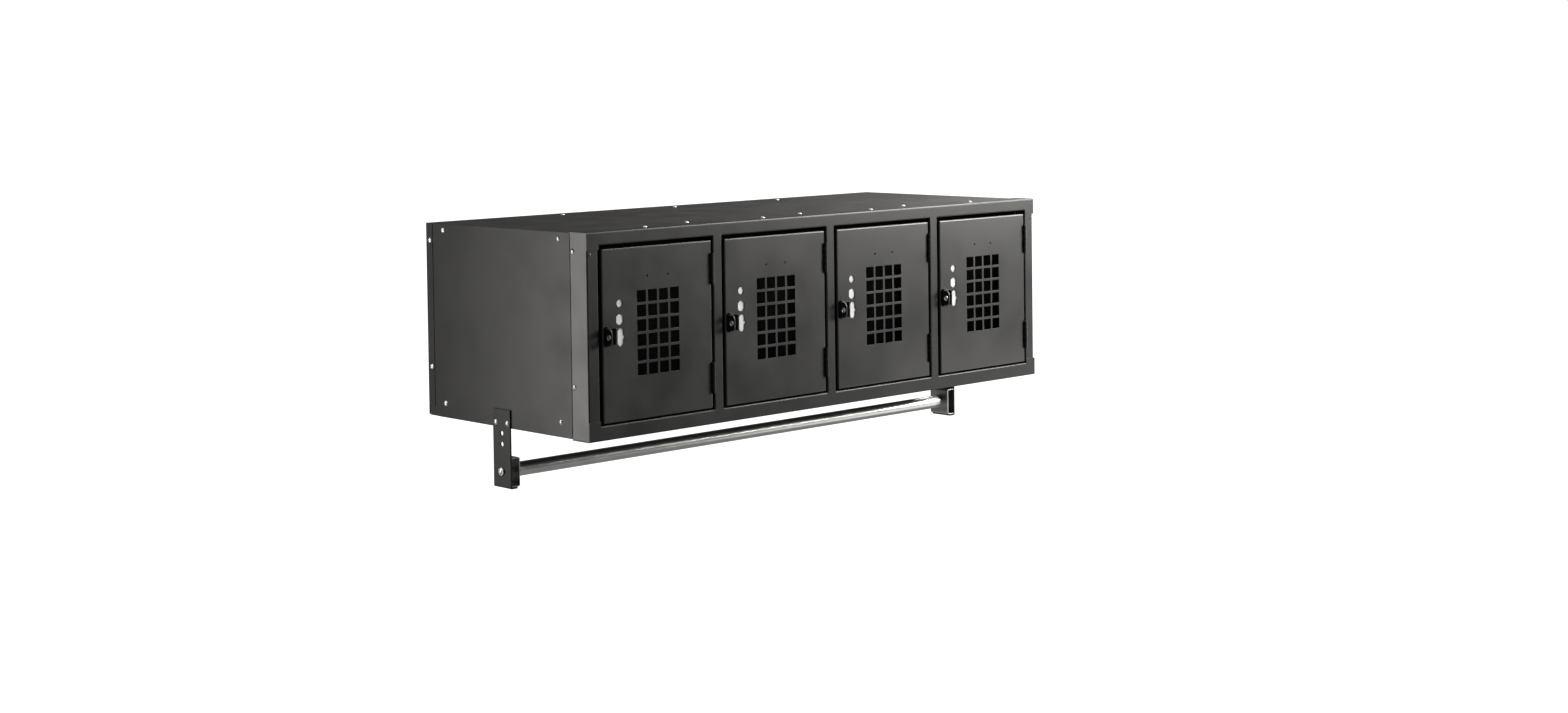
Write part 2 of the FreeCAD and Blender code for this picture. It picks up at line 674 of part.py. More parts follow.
def vent_cutter(bay):
    """The grid of square ventilation holes."""
    centre_x = (door_left(bay) + door_right(bay)) / 2
    centre_z = BOTTOM + VENT_CENTRE_HEIGHT
    holes = []
    for column in range(VENT_COLUMNS):
        x = centre_x + (column - (VENT_COLUMNS - 1) / 2) * VENT_PITCH - VENT_HOLE / 2
        for row in range(VENT_ROWS):
            z = centre_z + (row - (VENT_ROWS - 1) / 2) * VENT_PITCH - VENT_HOLE / 2
            holes.append(box(x, x + VENT_HOLE, -DOOR_SHEET, 2 * DOOR_SHEET, z, z + VENT_HOLE))
    return Part.makeCompound(holes)


def lock_cutter(bay):
    """The three holes for a built-in lock: round, double-D and long."""
    x = door_left(bay) + LOCK_LINE
    start = FRONT - DOOR_SHEET
    length = 3 * DOOR_SHEET
    small = Part.makeCylinder(SMALL_LOCK_RADIUS, length, V(x, start, BOTTOM + SMALL_LOCK_HEIGHT),
                              OUT_BACK)
    cam = Part.makeCylinder(CAM_LOCK_RADIUS, length, V(x, start, BOTTOM + CAM_LOCK_HEIGHT), OUT_BACK)
    flats = box(x - CAM_LOCK_FLATS / 2, x + CAM_LOCK_FLATS / 2, -DOOR_SHEET, 2 * DOOR_SHEET,
                BOTTOM + CAM_LOCK_HEIGHT - CAM_LOCK_RADIUS, BOTTOM + CAM_LOCK_HEIGHT + CAM_LOCK_RADIUS)
    cam = cam.common(flats)
    x0 = x + LONG_LOCK_SHIFT - LONG_LOCK_WIDTH / 2
    x1 = x0 + LONG_LOCK_WIDTH
    z0 = BOTTOM + LONG_LOCK_HEIGHT - LONG_LOCK_LENGTH / 2
    z1 = z0 + LONG_LOCK_LENGTH
    long_hole = box(x0, x1, -DOOR_SHEET, 2 * DOOR_SHEET, z0, z1)
    corners = [V(x0, 0, z0), V(x1, 0, z0), V(x0, 0, z1), V(x1, 0, z1)]
    long_hole = round_edges(long_hole, LONG_LOCK_CORNER, OUT_BACK, corners)
    nick = Part.makeCylinder(LONG_LOCK_NICK, length, V(x1, start, BOTTOM + LONG_LOCK_HEIGHT), OUT_BACK)
    return Part.makeCompound([small, cam, long_hole.fuse(nick)])


def staple_slot(bay, depth0, depth1):
    """The slot that the padlock staple comes through, as a cutter."""
    left = opening_left(bay) + STAPLE_LEFT - SLOT_CLEARANCE
    half = STAPLE_TALL / 2 + SLOT_CLEARANCE
    middle = BOTTOM + STAPLE_HEIGHT
    width = STAPLE_SHEET + 2 * SLOT_CLEARANCE
    return box(left, left + width, depth0, depth1, middle - half, middle + half)


def hinge_notches(bay):
    """Clearance in the door's edge round the knuckles of both hinges."""
    right = door_right(bay)
    reach = hinge_axis(bay).x - KNUCKLE_RADIUS - NOTCH_CLEARANCE
    half = HINGE_LENGTH / 2 + NOTCH_END_CLEARANCE
    cutters = []
    for height in HINGE_HEIGHTS:
        middle = BOTTOM + height
        cutters.append(box(reach, right + DOOR_SHEET, -DOOR_SHEET, HINGE_LEAF_START,
                           middle - half, middle + half))
    return Part.makeCompound(cutters)


def rivet_point(bay):
    """Centre of the pull's rivet, on the face of the pull."""
    x = opening_left(bay) + PULL_LEFT + PULL_RIVET_INSET
    return V(x, FRONT - PULL_PLATE, BOTTOM + STAPLE_HEIGHT)


def door(bay):
    """One door with its vents, lock holes, number plate holes, slot and hinge notches."""
    solid = door_pan(bay)
    solid = solid.cut(vent_cutter(bay))
    solid = solid.cut(lock_cutter(bay))
    solid = solid.cut(staple_slot(bay, -DOOR_SHEET, 2 * DOOR_SHEET))
    solid = solid.cut(hinge_notches(bay))
    centre_x = (door_left(bay) + door_right(bay)) / 2
    for offset in (-PLATE_HOLE_SPACING / 2, PLATE_HOLE_SPACING / 2):
        hole = V(centre_x + offset, FRONT, BOTTOM + PLATE_HOLE_HEIGHT)
        solid = drill(solid, hole, OUT_BACK, PLATE_HOLE_RADIUS, 4 * DOOR_SHEET)
    return drill(solid, rivet_point(bay), OUT_BACK, RIVET_SHANK_RADIUS, 4 * PULL_PLATE)


def lock_plate(bay):
    """The bright plate behind the lock holes."""
    x = door_left(bay) + LOCK_LINE
    plate = box(x - LOCK_PLATE_WIDTH / 2, x + LOCK_PLATE_WIDTH / 2, DOOR_SHEET,
                DOOR_SHEET + LOCK_SHEET, BOTTOM + LOCK_PLATE_BOTTOM, BOTTOM + LOCK_PLATE_TOP)
    return plate


def door_pull(bay):
    """The black pull beside the staple: a plate with two ears and a lip for the fingers."""
    left = opening_left(bay) + PULL_LEFT
    right = left + PULL_WIDTH
    middle = BOTTOM + STAPLE_HEIGHT
    low = middle - PULL_TALL / 2
    high = middle + PULL_TALL / 2
    ear_low = middle - PULL_EAR_TALL / 2
    ear_high = middle + PULL_EAR_TALL / 2
    plate = box(left, right, -PULL_PLATE, 0, low, high)
    ears = box(left, left + PULL_EAR_WIDTH, -PULL_PLATE, 0, ear_low, ear_high)
    lip = box(right - PULL_LIP, right, -PULL_LIP_PROUD, 0, low, high)
    pull = fuse([plate, ears, lip])
    nose = FRONT - PULL_LIP_PROUD
    pull = round_edges(pull, PULL_LIP / 2 - 0.2, UP, [V(right, nose, 0), V(right - PULL_LIP, nose, 0)])
    return drill(pull, rivet_point(bay), OUT_BACK, RIVET_SHANK_RADIUS, 4 * PULL_PLATE)


def pull_rivet(bay):
    """The rivet through pull and door, with a formed head at each end."""
    stack = PULL_PLATE + DOOR_SHEET
    head = dome(RIVET_HEAD_RADIUS, RIVET_HEAD_HEIGHT)
    shank = Part.makeCylinder(RIVET_SHANK_RADIUS, stack, V(0, 0, -stack))
    tail = Part.makeCylinder(RIVET_HEAD_RADIUS, RIVET_HEAD_HEIGHT, V(0, 0, -stack - RIVET_HEAD_HEIGHT))
    return place(head.fuse(shank).fuse(tail).removeSplitter(), rivet_point(bay), OUT_FRONT)


# ---------------------------------------------------------------- coat rod
def hanger_plate():
    """The left hanger: a flat bar screwed to the side, its foot turned inward."""
    low = BOTTOM - HANGER_BELOW
    front = HANGER_CENTRE_DEPTH - HANGER_WIDTH / 2
    rear = front + HANGER_WIDTH
    outer = -FIELD_FACE - HANGER_SHEET
    bar = box(outer, -FIELD_FACE, front, rear, low, BOTTOM + HANGER_ABOVE)
    foot = box(outer, -FIELD_FACE + HANGER_LIP, front, rear, low, low + HANGER_SHEET)
    plate = fuse([bar, foot])
    plate = round_edges(plate, HANGER_SHEET * 0.9, OUT_BACK, [V(outer, 0, low)])
    plate = pierce(plate, hanger_sites(-1))
    for drop in SPARE_HOLE_DROPS:
        plate = drill(plate, V(outer, HANGER_Y, BOTTOM - drop), OUT_RIGHT, SPARE_HOLE_RADIUS,
                      4 * HANGER_SHEET)
    return drill(plate, V(outer, HANGER_Y, ROD_HEIGHT), OUT_RIGHT, ROD_BOLT_HOLE_RADIUS,
                 4 * HANGER_SHEET)


def rod_bracket():
    """The left bracket: a channel between the hanger plate and the end of the rod."""
    front = HANGER_CENTRE_DEPTH - BRACKET_WIDTH / 2
    rear = front + BRACKET_WIDTH
    low = ROD_HEIGHT - BRACKET_HALF_HEIGHT
    high = ROD_HEIGHT + BRACKET_HALF_HEIGHT
    block = box(-FIELD_FACE, -ROD_END, front, rear, low, high)
    block = round_edges(block, BRACKET_BEND, OUT_BACK, [V(-ROD_END, 0, low), V(-ROD_END, 0, high)])
    t = BRACKET_SHEET
    hollow = box(-FIELD_FACE - t, -ROD_END - t, front - t, rear + t, low + t, high - t)
    inner = [V(-ROD_END - t, 0, low + t), V(-ROD_END - t, 0, high - t)]
    hollow = round_edges(hollow, BRACKET_BEND - t, OUT_BACK, inner)
    channel = block.cut(hollow)
    return drill(channel, V(-ROD_END, HANGER_Y, ROD_HEIGHT), OUT_RIGHT, ROD_BOLT_HOLE_RADIUS,
                 4 * BRACKET_SHEET)


def coat_rod():
    """A round tube between the two brackets."""
    start = V(-ROD_END, HANGER_Y, ROD_HEIGHT)
    length = 2 * ROD_END
    outer = Part.makeCylinder(ROD_RADIUS, length, start, OUT_RIGHT)
    return outer.cut(Part.makeCylinder(ROD_RADIUS - ROD_WALL, length, start, OUT_RIGHT))


def rod_end_plugs():
    """Tapped plugs inside the ends of the rod."""
    plug = Part.makeCylinder(ROD_RADIUS - ROD_WALL - PLUG_CLEARANCE, PLUG_LENGTH)
    plug = drill(plug, V(0, 0, 0), UP, ROD_BOLT_RADIUS + PLUG_CLEARANCE)
    left = place(plug, V(-ROD_END, HANGER_Y, ROD_HEIGHT), OUT_RIGHT)
    return Part.makeCompound([left, mirror_x(left)])


def rod_bolts():
    """Hexagon bolts through hanger, bracket and plug, on the axis of the rod."""
    length = HANGER_SHEET + BRACKET_REACH + ROD_BOLT_BITE
    head = hexagon(ROD_BOLT_FLATS, ROD_BOLT_HEAD)
    crown = dome(ROD_BOLT_FLATS / 2 * 1.13, ROD_BOLT_HEAD)
    head = head.common(crown.fuse(Part.makeCylinder(ROD_BOLT_FLATS, ROD_BOLT_HEAD * 0.6)))
    shank = Part.makeCylinder(ROD_BOLT_RADIUS, length, V(0, 0, -length))
    bolt = head.fuse(shank).removeSplitter()
    left = place(bolt, V(-FIELD_FACE - HANGER_SHEET, HANGER_Y, ROD_HEIGHT), OUT_LEFT)
    return Part.makeCompound([left, mirror_x(left)])


# ---------------------------------------------------------------- assembly
def carcass_parts():
    left = side_panel()
    parts = {
        "left_side_panel": left,
        "right_side_panel": mirror_x(left),
        "back_panel": back_panel(),
        "top_panel": pan(TOP_SKIN, -1, PAN_FLANGE_TOP, LEFT_SITES + RIGHT_SITES + TOP_SITES),
        "bottom_panel": pan(BOTTOM_SKIN, 1, PAN_FLANGE_BOTTOM,
                            LEFT_SITES + RIGHT_SITES + BOTTOM_SITES + HANGER_SITES),
    }
    for index in range(BAY_COUNT - 1):
        parts[f"partition_{index + 1}"] = partition(index)
    return parts


def frame_parts():
    parts = {
        "top_rail": rail(TOP, -1, TOP_RAIL_HEIGHT, TOP_SITES),
        "bottom_rail": rail(BOTTOM, 1, BOTTOM_RAIL_HEIGHT, BOTTOM_SITES),
        "left_stile": left_stile(),
        "right_stile": right_stile(),
        "frame_rivets": frame_rivets(),
        "door_bumpers": bumpers(),
    }
    for index in range(BAY_COUNT - 1):
        parts[f"mullion_{index + 1}"] = mullion(index)
    return parts


def door_parts():
    parts = {"hinge_pins": hinge_pins()}
    for bay in range(BAY_COUNT):
        number = bay + 1
        parts[f"door_{number}"] = door(bay)
        parts[f"lock_plate_{number}"] = lock_plate(bay)
        parts[f"door_pull_{number}"] = door_pull(bay)
        parts[f"pull_rivet_{number}"] = pull_rivet(bay)
        parts[f"padlock_staple_{number}"] = padlock_staple(bay)
        parts[f"hinge_frame_leaves_{number}"] = hinge_frame_leaves(bay)
        parts[f"hinge_door_leaves_{number}"] = hinge_door_leaves(bay)
    return parts


def rod_parts():
    plate = hanger_plate()
    bracket = rod_bracket()
    return {
        "coat_rod": coat_rod(),
        "left_hanger_plate": plate,
        "right_hanger_plate": mirror_x(plate),
        "left_rod_bracket": bracket,
        "right_rod_bracket": mirror_x(bracket),
        "rod_end_plugs": rod_end_plugs(),
        "rod_bolts": rod_bolts(),
    }


def screw_parts():
    return {
        "left_side_screws": screws(LEFT_SITES),
        "right_side_screws": screws(RIGHT_SITES),
        "top_screws": screws(TOP_SITES),
        "bottom_screws": screws(BOTTOM_SITES),
        "hanger_screws": screws(HANGER_SITES),
        "screw_nuts": nuts(ALL_SITES),
    }


def main():
    os.makedirs("parts", exist_ok=True)
    parts = {}
    for group in (carcass_parts, frame_parts, door_parts, rod_parts, screw_parts):
        parts.update(group())
    for name, shape in parts.items():
        shape.exportStep(f"parts/{name}.step")


main()
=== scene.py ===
"""Studio scene of the wall-hung box locker: finishes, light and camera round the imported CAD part.

Metres, in the part's own frame: +X right, +Y back into the wall, +Z up.
"""

import json
import math

import bpy
from mathutils import Matrix, Vector

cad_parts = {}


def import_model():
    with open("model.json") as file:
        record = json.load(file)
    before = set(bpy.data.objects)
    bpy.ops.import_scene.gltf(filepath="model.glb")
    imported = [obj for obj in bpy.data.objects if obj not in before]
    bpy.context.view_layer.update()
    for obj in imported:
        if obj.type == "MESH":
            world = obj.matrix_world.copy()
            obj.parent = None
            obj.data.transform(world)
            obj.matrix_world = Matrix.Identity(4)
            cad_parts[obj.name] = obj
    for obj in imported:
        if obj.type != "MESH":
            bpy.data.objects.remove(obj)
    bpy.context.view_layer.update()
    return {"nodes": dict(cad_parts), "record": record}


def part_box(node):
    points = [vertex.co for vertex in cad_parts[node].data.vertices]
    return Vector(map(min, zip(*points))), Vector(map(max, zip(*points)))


# ---------------------------------------------------------------- camera
CAMERA_PLACE = (-3.0429, -3.4689, 0.4594)
CAMERA_YAW = 42.547              # degrees to the right of straight back
CAMERA_PITCH = 2.12              # degrees down
CAMERA_ROLL = -0.80
CAMERA_LENS = 53.93              # mm
CAMERA_SENSOR = 36.0             # mm wide
CAMERA_SHIFT = (0.0431, -0.1336)
CAMERA_NEAREST = 0.05
CAMERA_FARTHEST = 200.0

# ---------------------------------------------------------------- surroundings
BACKDROP_WHITE = 1.25            # what the camera sees behind the part, and the floor's brightness
FLOOR_DROP = 1.7                 # floor below the middle of the cabinet, which hangs at head height
FLOOR_REACH = 60.0

# Radiance that reflections and fill light see at the horizon, and what is added above and below.
AIR_HORIZON = 0.04
AIR_OVERHEAD = 0.07
AIR_BELOW = 0.32
SKY_EDGE = 0.9                   # sine of the angle where each reaches full strength
GROUND_EDGE = -0.6

# Softboxes round the part: degrees to the right of straight in front, degrees up, distance,
# width, height and radiance. All of them face the middle of the cabinet.
SOFTBOXES = {
    "right_softbox": (48.5, 14.5, 2.8, 1.0, 1.1, 17.3),
    "low_right_softbox": (55.0, -20.0, 2.6, 1.2, 1.15, 1.4),
    "upper_right_softbox": (72.0, 43.0, 3.3, 1.3, 1.3, 12.5),
    "right_side_softbox": (86.0, 2.0, 2.6, 0.7, 1.2, 5.0),
    "rear_right_softbox": (108.0, 34.0, 4.2, 1.6, 1.5, 7.5),
    "overhead_softbox": (0.0, 85.0, 2.8, 2.5, 1.6, 1.2),
    "front_softbox": (-12.0, 6.0, 3.2, 1.6, 1.1, 0.8),
    "low_rear_softbox": (150.0, -14.0, 2.8, 2.2, 0.9, 2.0),
    "left_softbox": (-112.0, 10.0, 2.8, 1.0, 1.3, 0.3),
    "left_near_softbox": (-95.0, 0.0, 1.1, 0.35, 0.9, 5.2),
}
CABINET_MIDDLE = (0.0, -0.25, 0.0)
LIGHT_COLOUR = (1.0, 0.985, 0.955)

# A faint fill in each compartment stands in for light that bounces about inside it.
DOORS = ("door_1", "door_2", "door_3", "door_4")
FILL_BEHIND_DOOR = 0.07
FILL_SIZE = 0.16
FILL_RADIANCE = 1.2

# ---------------------------------------------------------------- finishes
# Powder coats, by material slot: colour, roughness, orange peel, edge wear, gloss and clear coat.
PAINTS = {
    "carcass_paint": ((0.014, 0.0138, 0.0134), 0.46, 0.35, 0.5, 0.37, 0.0),
    "frame_paint": ((0.013, 0.013, 0.0126), 0.40, 0.30, 0.5, 0.43, 0.15),
    "door_paint": ((0.0152, 0.0152, 0.0146), 0.37, 0.30, 0.5, 0.5, 0.6),
    "hinge_paint": ((0.004, 0.004, 0.004), 0.40, 0.20, 0.6, 0.5, 0.0),
    "hanger_paint": ((0.016, 0.016, 0.0155), 0.42, 0.30, 0.9, 0.25, 0.0),
    "pull_black": ((0.018, 0.018, 0.017), 0.36, 0.15, 0.7, 0.5, 0.0),
}
COAT_ROUGHNESS = 0.16            # of the clear coat

# Bright metals, by material slot: colour, roughness, how fine the texture is along each axis, and
# the strength of its scratches. Lines run along an axis whose value is small.
EVEN = (1.0, 1.0, 1.0)
STEEL = (0.60, 0.60, 0.59)
METALS = {
    "rod_steel": (STEEL, 0.30, (0.02, 1.0, 1.0), 0.01),
    "bright_steel": (STEEL, 0.30, (1.0, 1.0, 0.1), 0.15),
    "screw_zinc": (STEEL, 0.38, EVEN, 0.15),
    "bracket_zinc": ((0.62, 0.62, 0.61), 0.34, (1.0, 0.1, 1.0), 0.12),
}

ZINC_COLOUR = (0.95, 0.95, 0.95)
ZINC_ROUGHNESS = 0.38
ZINC_METALLIC = 0.2
RUBBER_COLOUR = (0.02, 0.02, 0.02)
RUBBER_ROUGHNESS = 0.82

# Textures: features in a metre, detail, and the range of the noise that is drawn out to 0..1.
CLOUDS = (7.0, 2.0, 0.3, 0.7)          # uneven colour of a painted sheet
GRAINS = (420.0, 2.0, 0.35, 0.75)      # single grains of powder
CHIPS = (60.0, 4.0, 0.45, 0.7)         # rubbed spots along the edges
DUST = (24.0, 5.0, 0.35, 0.8)
SMUDGES = (11.0, 5.0, 0.3, 0.75)       # uneven shine of a painted sheet
DRAWN_LINES = (900.0, 3.0, 0.35, 0.8)
TARNISH = (30.0, 4.0, 0.3, 0.75)
TARNISH_SHINE = (30.0, 4.0, 0.3, 0.7)
SPANGLE = (160.0, 2.0, 0.3, 0.7)       # zinc crystals
ZINC_BLOOM = (40.0, 5.0, 0.3, 0.7)     # chalky oxide
RUBBER_BLOOM = (90.0, 4.0, 0.4, 0.75)

# Relief: features in a metre, detail and height.
SHEET_WAVES = (3.2, 1.0, 0.004)
ORANGE_PEEL = (820.0, 2.0, 0.00012)
LINE_GROOVES = (900.0, 3.0, 0.00005)
SPANGLE_RELIEF = (160.0, 2.0, 0.00004)
RUBBER_GRAIN = (700.0, 3.0, 0.0001)
SHEET_WAVE_STRENGTH = 0.18
SPANGLE_STRENGTH = 0.3
RUBBER_GRAIN_STRENGTH = 0.4

# Tints, which multiply the finish's colour, and how strongly a texture covers it.
CLOUD_TINTS = (0.9, 1.1)
GRAIN_TINT = 1.35
GRAIN_COVER = 0.35
WORN_TINT = 3.2
DUST_COLOUR = (0.42, 0.41, 0.39, 1.0)
DUST_COVER = (0.015, 0.04)
TARNISH_TINTS = (0.92, 1.04)
LINE_TINT = 0.8
LINE_COVER = 0.3
ZINC_TINTS = (0.93, 1.03)
RUBBER_BLOOM_TINT = 2.2
RUBBER_BLOOM_COVER = 0.5

# How far a texture moves the roughness down and up.
PAINT_SHINE = (-0.05, 0.06)
METAL_SHINE = (-0.02, 0.03)
ZINC_SHINE = (-0.05, 0.08)

EDGE_ROUNDING = 0.0005
EDGE_SAMPLES = 4
EDGE_COSINES = (0.995, 0.90)     # rounded normal against flat normal: still flat, full edge
UPWARD_COSINES = (0.75, 0.98)    # how far up a face looks: no dust, full dust

# The Mix node has several inputs called A and B. These are its colour ones and its colour result.
MIX_COLOUR_A = 6
MIX_COLOUR_B = 7
MIX_COLOUR_RESULT = 2


class Nodes:
    """A node tree, with short ways to add and join nodes."""

    def __init__(self, tree, output):
        self.tree = tree
        self.tree.nodes.clear()
        self.output = self.node(output)

    def node(self, kind, **settings):
        made = self.tree.nodes.new(kind)
        for key, value in settings.items():
            setattr(made, key, value)
        return made

    def feed(self, node, socket, value):
        """Join a socket to another node's output, or set it to a plain value."""
        if isinstance(value, bpy.types.NodeSocket):
            self.tree.links.new(value, node.inputs[socket])
        else:
            node.inputs[socket].default_value = value

    def spread(self, value, low, high, to_low=0.0, to_high=1.0):
        """Map a value smoothly from low..high to to_low..to_high."""
        made = self.node("ShaderNodeMapRange", interpolation_type="SMOOTHSTEP")
        self.feed(made, "Value", value)
        self.feed(made, "From Min", low)
        self.feed(made, "From Max", high)
        self.feed(made, "To Min", to_low)
        self.feed(made, "To Max", to_high)
        return made.outputs["Result"]

    def combine(self, operation, first, second):
        """Two values added, multiplied and so on."""
        made = self.node("ShaderNodeMath", operation=operation)
        self.feed(made, 0, first)
        self.feed(made, 1, second)
        return made.outputs["Value"]

    def choose(self, factor, first, second):
        """The first shader where the factor is 0, and the second where it is 1."""
        made = self.node("ShaderNodeMixShader")
        self.feed(made, 0, factor)
        self.feed(made, 1, first)
        self.feed(made, 2, second)
        return made.outputs["Shader"]


class Finish(Nodes):
    """A material's node tree, with the textures that the finishes are made of."""

    def __init__(self, name):
        self.material = bpy.data.materials.new(name)
        self.material.use_nodes = True
        super().__init__(self.material.node_tree, "ShaderNodeOutputMaterial")
        self.place = self.node("ShaderNodeTexCoord").outputs["Object"]

    def noise(self, scale, detail, fineness):
        mapping = self.node("ShaderNodeMapping")
        self.feed(mapping, "Vector", self.place)
        self.feed(mapping, "Scale", fineness)
        made = self.node("ShaderNodeTexNoise")
        self.feed(made, "Vector", mapping.outputs["Vector"])
        self.feed(made, "Scale", scale)
        self.feed(made, "Detail", detail)
        return made.outputs["Fac"]

    def texture(self, settings, to_low=0.0, to_high=1.0, fineness=EVEN):
        """One of the named textures, as a value from to_low to to_high."""
        scale, detail, low, high = settings
        return self.spread(self.noise(scale, detail, fineness), low, high, to_low, to_high)

    def relief(self, settings, strength, normal=None, fineness=EVEN):
        """One of the named reliefs, laid over a normal or over the bare surface."""
        scale, detail, height = settings
        made = self.node("ShaderNodeBump")
        self.feed(made, "Height", self.noise(scale, detail, fineness))
        self.feed(made, "Distance", height)
        self.feed(made, "Strength", strength)
        if normal is not None:
            self.feed(made, "Normal", normal)
        return made.outputs["Normal"]

    def mix(self, factor, first, second):
        """The first colour where the factor is 0, and the second where it is 1."""
        made = self.node("ShaderNodeMix", data_type="RGBA")
        self.feed(made, "Factor", factor)
        self.feed(made, MIX_COLOUR_A, first)
        self.feed(made, MIX_COLOUR_B, second)
        return made.outputs[MIX_COLOUR_RESULT]

    def rounded_normal(self):
        """The surface normal with every edge softened."""
        made = self.node("ShaderNodeBevel", samples=EDGE_SAMPLES)
        self.feed(made, "Radius", EDGE_ROUNDING)
        return made.outputs["Normal"]

    def edges(self):
        """1 on the edges of the sheet and 0 on its flats."""
        geometry = self.node("ShaderNodeNewGeometry")
        dot = self.node("ShaderNodeVectorMath", operation="DOT_PRODUCT")
        self.feed(dot, 0, self.rounded_normal())
        self.feed(dot, 1, geometry.outputs["True Normal"])
        return self.spread(dot.outputs["Value"], *EDGE_COSINES)

    def upward(self):
        """1 where the surface faces up, for settled dust."""
        geometry = self.node("ShaderNodeNewGeometry")
        split = self.node("ShaderNodeSeparateXYZ")
        self.feed(split, "Vector", geometry.outputs["Normal"])
        return self.spread(split.outputs["Z"], *UPWARD_COSINES)

    def surface(self, **inputs):
        """A principled surface with the given inputs, joined to the output."""
        made = self.node("ShaderNodeBsdfPrincipled")
        for socket, value in inputs.items():
            self.feed(made, socket.replace("_", " "), value)
        self.feed(self.output, "Surface", made.outputs["BSDF"])
        return self.material


def tint(colour, factor):
    """A colour made darker or lighter, with full opacity."""
    return tuple(channel * factor for channel in colour) + (1.0,)


def around(value, steps):
    """A value moved down and up by two steps."""
    down, up = steps
    return value + down, value + up


def powder_coat(name, colour, roughness, peel, wear, gloss, coat):
    """Powder coat: cloudy colour, orange peel, slight sheet waviness, rubbed edges and dust."""
    f = Finish(name)
    darker, lighter = CLOUD_TINTS
    mottled = f.mix(f.texture(CLOUDS), tint(colour, darker), tint(colour, lighter))
    speckled = f.mix(f.texture(GRAINS, 0.0, GRAIN_COVER), mottled, tint(colour, GRAIN_TINT))
    chips = f.combine("MULTIPLY", f.edges(), f.texture(CHIPS))
    worn = f.mix(f.combine("MULTIPLY", chips, wear), speckled, tint(colour, WORN_TINT))
    dust = f.combine("MULTIPLY", f.upward(), f.texture(DUST, *DUST_COVER))
    dusty = f.mix(dust, worn, DUST_COLOUR)
    smudged = f.texture(SMUDGES, *around(roughness, PAINT_SHINE))
    waves = f.relief(SHEET_WAVES, SHEET_WAVE_STRENGTH, f.rounded_normal())
    peeled = f.relief(ORANGE_PEEL, peel, waves)
    return f.surface(Base_Color=dusty, Roughness=smudged, Normal=peeled, Specular_IOR_Level=gloss,
                     Coat_Weight=coat, Coat_Roughness=COAT_ROUGHNESS)


def bright_metal(name, colour, roughness, fineness, scratch):
    """Plated or drawn metal: fine lines and soft cloudy tarnish."""
    f = Finish(name)
    darker, lighter = TARNISH_TINTS
    toned = f.mix(f.texture(TARNISH), tint(colour, darker), tint(colour, lighter))
    lines = f.texture(DRAWN_LINES, 0.0, LINE_COVER, fineness)
    lined = f.mix(lines, toned, tint(colour, LINE_TINT))
    varied = f.texture(TARNISH_SHINE, *around(roughness, METAL_SHINE))
    grooves = f.relief(LINE_GROOVES, scratch, f.rounded_normal(), fineness)
    return f.surface(Base_Color=lined, Metallic=1.0, Roughness=varied, Normal=grooves)


def pale_plating(name, colour, roughness):
    """Dull white zinc: mostly chalky bloom over a little metal, with a faint spangle."""
    f = Finish(name)
    darker, lighter = ZINC_TINTS
    toned = f.mix(f.texture(ZINC_BLOOM), tint(colour, darker), tint(colour, lighter))
    varied = f.texture(SPANGLE, *around(roughness, ZINC_SHINE))
    spangled = f.relief(SPANGLE_RELIEF, SPANGLE_STRENGTH)
    return f.surface(Base_Color=toned, Metallic=ZINC_METALLIC, Roughness=varied, Normal=spangled)


def rubber(name, colour):
    """Moulded rubber: matt, with a fine grain and a little bloom."""
    f = Finish(name)
    bloom = f.texture(RUBBER_BLOOM, 0.0, RUBBER_BLOOM_COVER)
    toned = f.mix(bloom, tint(colour, 1.0), tint(colour, RUBBER_BLOOM_TINT))
    grained = f.relief(RUBBER_GRAIN, RUBBER_GRAIN_STRENGTH, f.rounded_normal())
    return f.surface(Base_Color=toned, Roughness=RUBBER_ROUGHNESS, Normal=grained)


def make_finishes():
    """One material for each of the record's material slots."""
    finishes = {name: powder_coat(name, *look) for name, look in PAINTS.items()}
    finishes.update({name: bright_metal(name, *look) for name, look in METALS.items()})
    finishes["zinc_plate"] = pale_plating("zinc_plate", ZINC_COLOUR, ZINC_ROUGHNESS)
    finishes["bumper_rubber"] = rubber("bumper_rubber", RUBBER_COLOUR)
    return finishes


def dress(frame, finishes):
    """Put each CAD node's finish on it."""
    slots = {row["node"]: row["material_slot"] for row in frame["record"]["subparts"]}
    for name, thing in frame["nodes"].items():
        thing.data.materials.clear()
        thing.data.materials.append(finishes[slots[name]])


# ---------------------------------------------------------------- surroundings and light
def make_world():
    """White behind the part; reflections see grey air, lighter overhead and pale ground below."""
    world = bpy.data.worlds.new("studio")
    world.use_nodes = True
    w = Nodes(world.node_tree, "ShaderNodeOutputWorld")
    split = w.node("ShaderNodeSeparateXYZ")
    w.feed(split, "Vector", w.node("ShaderNodeTexCoord").outputs["Generated"])
    above = w.spread(split.outputs["Z"], 0.0, SKY_EDGE, 0.0, AIR_OVERHEAD)
    below = w.spread(split.outputs["Z"], 0.0, GROUND_EDGE, 0.0, AIR_BELOW)
    air = w.node("ShaderNodeBackground")
    w.feed(air, "Strength", w.combine("ADD", w.combine("ADD", above, below), AIR_HORIZON))
    white = w.node("ShaderNodeBackground")
    w.feed(white, "Strength", BACKDROP_WHITE)
    seen = w.node("ShaderNodeLightPath").outputs["Is Camera Ray"]
    both = w.choose(seen, air.outputs["Background"], white.outputs["Background"])
    w.feed(w.output, "Surface", both)
    bpy.context.scene.world = world


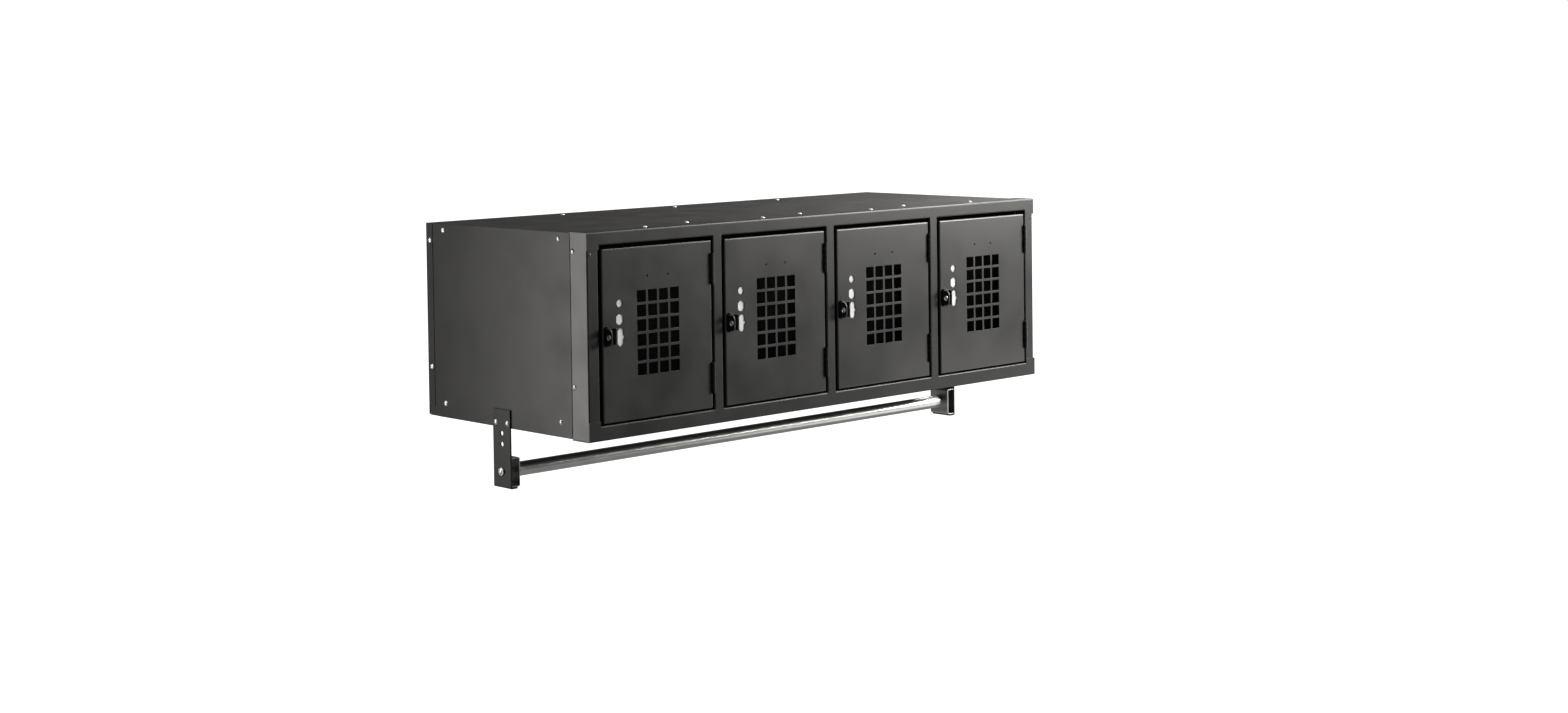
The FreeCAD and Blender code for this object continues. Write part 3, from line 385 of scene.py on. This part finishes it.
def floor_finish():
    """Plain pale white from above, and clear from below so that it never hides the part."""
    material = bpy.data.materials.new("floor_white")
    material.use_nodes = True
    f = Nodes(material.node_tree, "ShaderNodeOutputMaterial")
    white = f.node("ShaderNodeEmission")
    f.feed(white, "Strength", BACKDROP_WHITE)
    clear = f.node("ShaderNodeBsdfTransparent")
    underside = f.node("ShaderNodeNewGeometry").outputs["Backfacing"]
    both = f.choose(underside, white.outputs["Emission"], clear.outputs["BSDF"])
    f.feed(f.output, "Surface", both)
    material.cycles.emission_sampling = "NONE"
    return material


def make_floor():
    """A plain floor for the camera alone. The world's pale ground gives the light it returns."""
    sides = ((-1, -1), (1, -1), (1, 1), (-1, 1))
    corners = [(x * FLOOR_REACH, y * FLOOR_REACH, -FLOOR_DROP) for x, y in sides]
    mesh = bpy.data.meshes.new("floor")
    mesh.from_pydata(corners, [], [(0, 1, 2, 3)])
    mesh.materials.append(floor_finish())
    floor = bpy.data.objects.new("floor", mesh)
    floor.visible_diffuse = False
    floor.visible_glossy = False
    floor.visible_shadow = False
    bpy.context.scene.collection.objects.link(floor)


def area_light(name, place, target, width, height, radiance):
    """A rectangular area light of a given radiance, hidden from the camera."""
    light = bpy.data.lights.new(name, "AREA")
    light.shape = "RECTANGLE"
    light.size = width
    light.size_y = height
    light.energy = math.pi * radiance * width * height
    light.color = LIGHT_COLOUR
    holder = bpy.data.objects.new(name, light)
    holder.location = place
    towards = Vector(target) - Vector(place)
    holder.rotation_mode = "QUATERNION"
    holder.rotation_quaternion = towards.to_track_quat("-Z", "Y")
    holder.visible_camera = False
    bpy.context.scene.collection.objects.link(holder)


def make_softbox(name, azimuth, elevation, distance, width, height, radiance):
    """A studio softbox that faces the middle of the cabinet."""
    turn = math.radians(azimuth)
    tilt = math.radians(elevation)
    direction = Vector((math.sin(turn) * math.cos(tilt), -math.cos(turn) * math.cos(tilt),
                        math.sin(tilt)))
    area_light(name, direction * distance, CABINET_MIDDLE, width, height, radiance)


def make_compartment_fill(door):
    """A faint light just behind a door, which shines at the back of its compartment."""
    low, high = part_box(door)
    place = Vector(((low[0] + high[0]) / 2, high[1] + FILL_BEHIND_DOOR, (low[2] + high[2]) / 2))
    straight_back = Vector((0.0, 1.0, 0.0))
    area_light(door + "_fill", place, place + straight_back, FILL_SIZE, FILL_SIZE, FILL_RADIANCE)


def make_lights():
    for name, settings in SOFTBOXES.items():
        make_softbox(name, *settings)
    for door in DOORS:
        make_compartment_fill(door)


def make_camera():
    """The camera, to the left of the part's front and a little above it."""
    data = bpy.data.cameras.new("camera")
    data.lens = CAMERA_LENS
    data.sensor_width = CAMERA_SENSOR
    data.shift_x, data.shift_y = CAMERA_SHIFT
    data.clip_start = CAMERA_NEAREST
    data.clip_end = CAMERA_FARTHEST
    camera = bpy.data.objects.new("camera", data)
    yaw = Matrix.Rotation(math.radians(-CAMERA_YAW), 4, "Z")
    pitch = Matrix.Rotation(math.radians(90.0 - CAMERA_PITCH), 4, "X")
    roll = Matrix.Rotation(math.radians(CAMERA_ROLL), 4, "Z")
    camera.matrix_world = Matrix.Translation(CAMERA_PLACE) @ yaw @ pitch @ roll
    bpy.context.scene.collection.objects.link(camera)
    bpy.context.scene.camera = camera


def main():
    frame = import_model()
    dress(frame, make_finishes())
    make_world()
    make_floor()
    make_lights()
    make_camera()
    bpy.context.scene.view_settings.view_transform = "Standard"


main()
